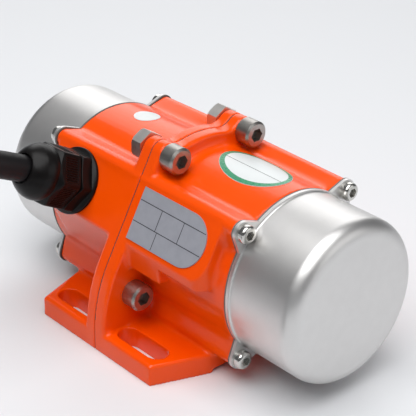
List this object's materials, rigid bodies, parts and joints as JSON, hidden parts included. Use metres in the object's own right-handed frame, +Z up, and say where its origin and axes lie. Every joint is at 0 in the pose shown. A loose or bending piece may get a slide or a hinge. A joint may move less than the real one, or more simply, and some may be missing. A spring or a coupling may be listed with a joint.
{
  "type": "vibration motor",
  "caption": "Foot-mounted electric vibration motor: a bolted two-part cast body, drawn end caps over adjustable eccentric weights, a side cable gland and a corded plug.",
  "frame": {"origin": "centre of the four slots, in the mounting face under the feet", "axes": "+X along the shaft to the front cap (the rating plate's end), +Z up from the mounting face, -Y the side with the rating plate and the cable gland"},
  "size_m": [0.205, 0.4263, 0.1022],
  "materials": {
    "orange_paint": "gloss orange enamel on cast aluminium",
    "cap_steel": "satin drawn stainless steel",
    "gasket": "thin dark gasket sheet",
    "fastener_steel": "bright zinc plated steel",
    "lamination_steel": "stacked sheet edges",
    "winding_copper": "varnished copper wire",
    "cast_aluminium": "as cast",
    "shaft_steel": "ground",
    "bearing_steel": "polished",
    "cage_steel": "pressed sheet",
    "spring_steel": "phosphated black",
    "weight_steel": "cut plate",
    "plate_metal": "matt silver sheet",
    "label_white": "glossy film",
    "gland_nylon": "moulded black nylon",
    "seal_rubber": "soft black rubber",
    "cable_rubber": "smooth black sheath",
    "plug_rubber": "moulded black rubber",
    "pin_brass": "plain brass"
  },
  "bodies": {
    "root": {"housing_front": "orange_paint", "housing_rear": "orange_paint", "body_gasket": "gasket", "front_cap_gasket": "gasket", "rear_cap_gasket": "gasket", "front_cap": "cap_steel", "rear_cap": "cap_steel", "front_cap_screws": "fastener_steel", "rear_cap_screws": "fastener_steel", "main_bolts": "fastener_steel", "main_nuts": "fastener_steel", "stator_core": "lamination_steel", "front_winding": "winding_copper", "rear_winding": "winding_copper", "rating_plate": "plate_metal", "oval_label": "label_white", "round_label": "label_white", "gland_body": "gland_nylon", "gland_nut": "gland_nylon", "gland_seal": "seal_rubber", "cable": "cable_rubber", "cable_coil": "cable_rubber", "cable_tail": "cable_rubber", "plug_body": "plug_rubber", "plug_pins": "pin_brass", "front_bearing_outer": "bearing_steel", "front_circlip": "spring_steel", "rear_bearing_outer": "bearing_steel", "rear_circlip": "spring_steel"},
    "rotor": {"rotor_core": "lamination_steel", "rotor_end_rings": "cast_aluminium", "shaft": "shaft_steel", "front_bearing_inner": "bearing_steel", "front_fixed_weight": "weight_steel", "front_key": "shaft_steel", "front_weight_spacer": "shaft_steel", "front_shaft_clip": "spring_steel", "rear_bearing_inner": "bearing_steel", "rear_fixed_weight": "weight_steel", "rear_key": "shaft_steel", "rear_weight_spacer": "shaft_steel", "rear_shaft_clip": "spring_steel"},
    "front_ball_train": {"front_bearing_balls": "bearing_steel", "front_bearing_cage": "cage_steel"},
    "front_weight": {"front_adjustable_weight": "weight_steel", "front_clamp_screw": "fastener_steel"},
    "rear_ball_train": {"rear_bearing_balls": "bearing_steel", "rear_bearing_cage": "cage_steel"},
    "rear_weight": {"rear_adjustable_weight": "weight_steel", "rear_clamp_screw": "fastener_steel"}
  },
  "joints": [
    {"name": "rotor_spin", "type": "hinge", "parent": "root", "child": "rotor", "pos_m": [0, 0, 0.0458], "axis": [1, 0, 0], "continuous": true},
    {"name": "front_balls_roll", "type": "hinge", "parent": "root", "child": "front_ball_train", "pos_m": [0.0545, 0, 0.0458], "axis": [1, 0, 0], "continuous": true},
    {"name": "front_weight_set", "type": "hinge", "parent": "rotor", "child": "front_weight", "pos_m": [0.0836, 0, 0.0458], "axis": [1, 0, 0], "range_deg": [0, 180]},
    {"name": "rear_balls_roll", "type": "hinge", "parent": "root", "child": "rear_ball_train", "pos_m": [-0.0545, 0, 0.0458], "axis": [1, 0, 0], "continuous": true},
    {"name": "rear_weight_set", "type": "hinge", "parent": "rotor", "child": "rear_weight", "pos_m": [-0.0836, 0, 0.0458], "axis": [1, 0, 0], "range_deg": [0, 180]}
  ],
  "couplings": [
    {"joint": "front_balls_roll", "follows": "rotor_spin", "ratio": 0.38},
    {"joint": "rear_balls_roll", "follows": "rotor_spin", "ratio": 0.38}
  ]
}
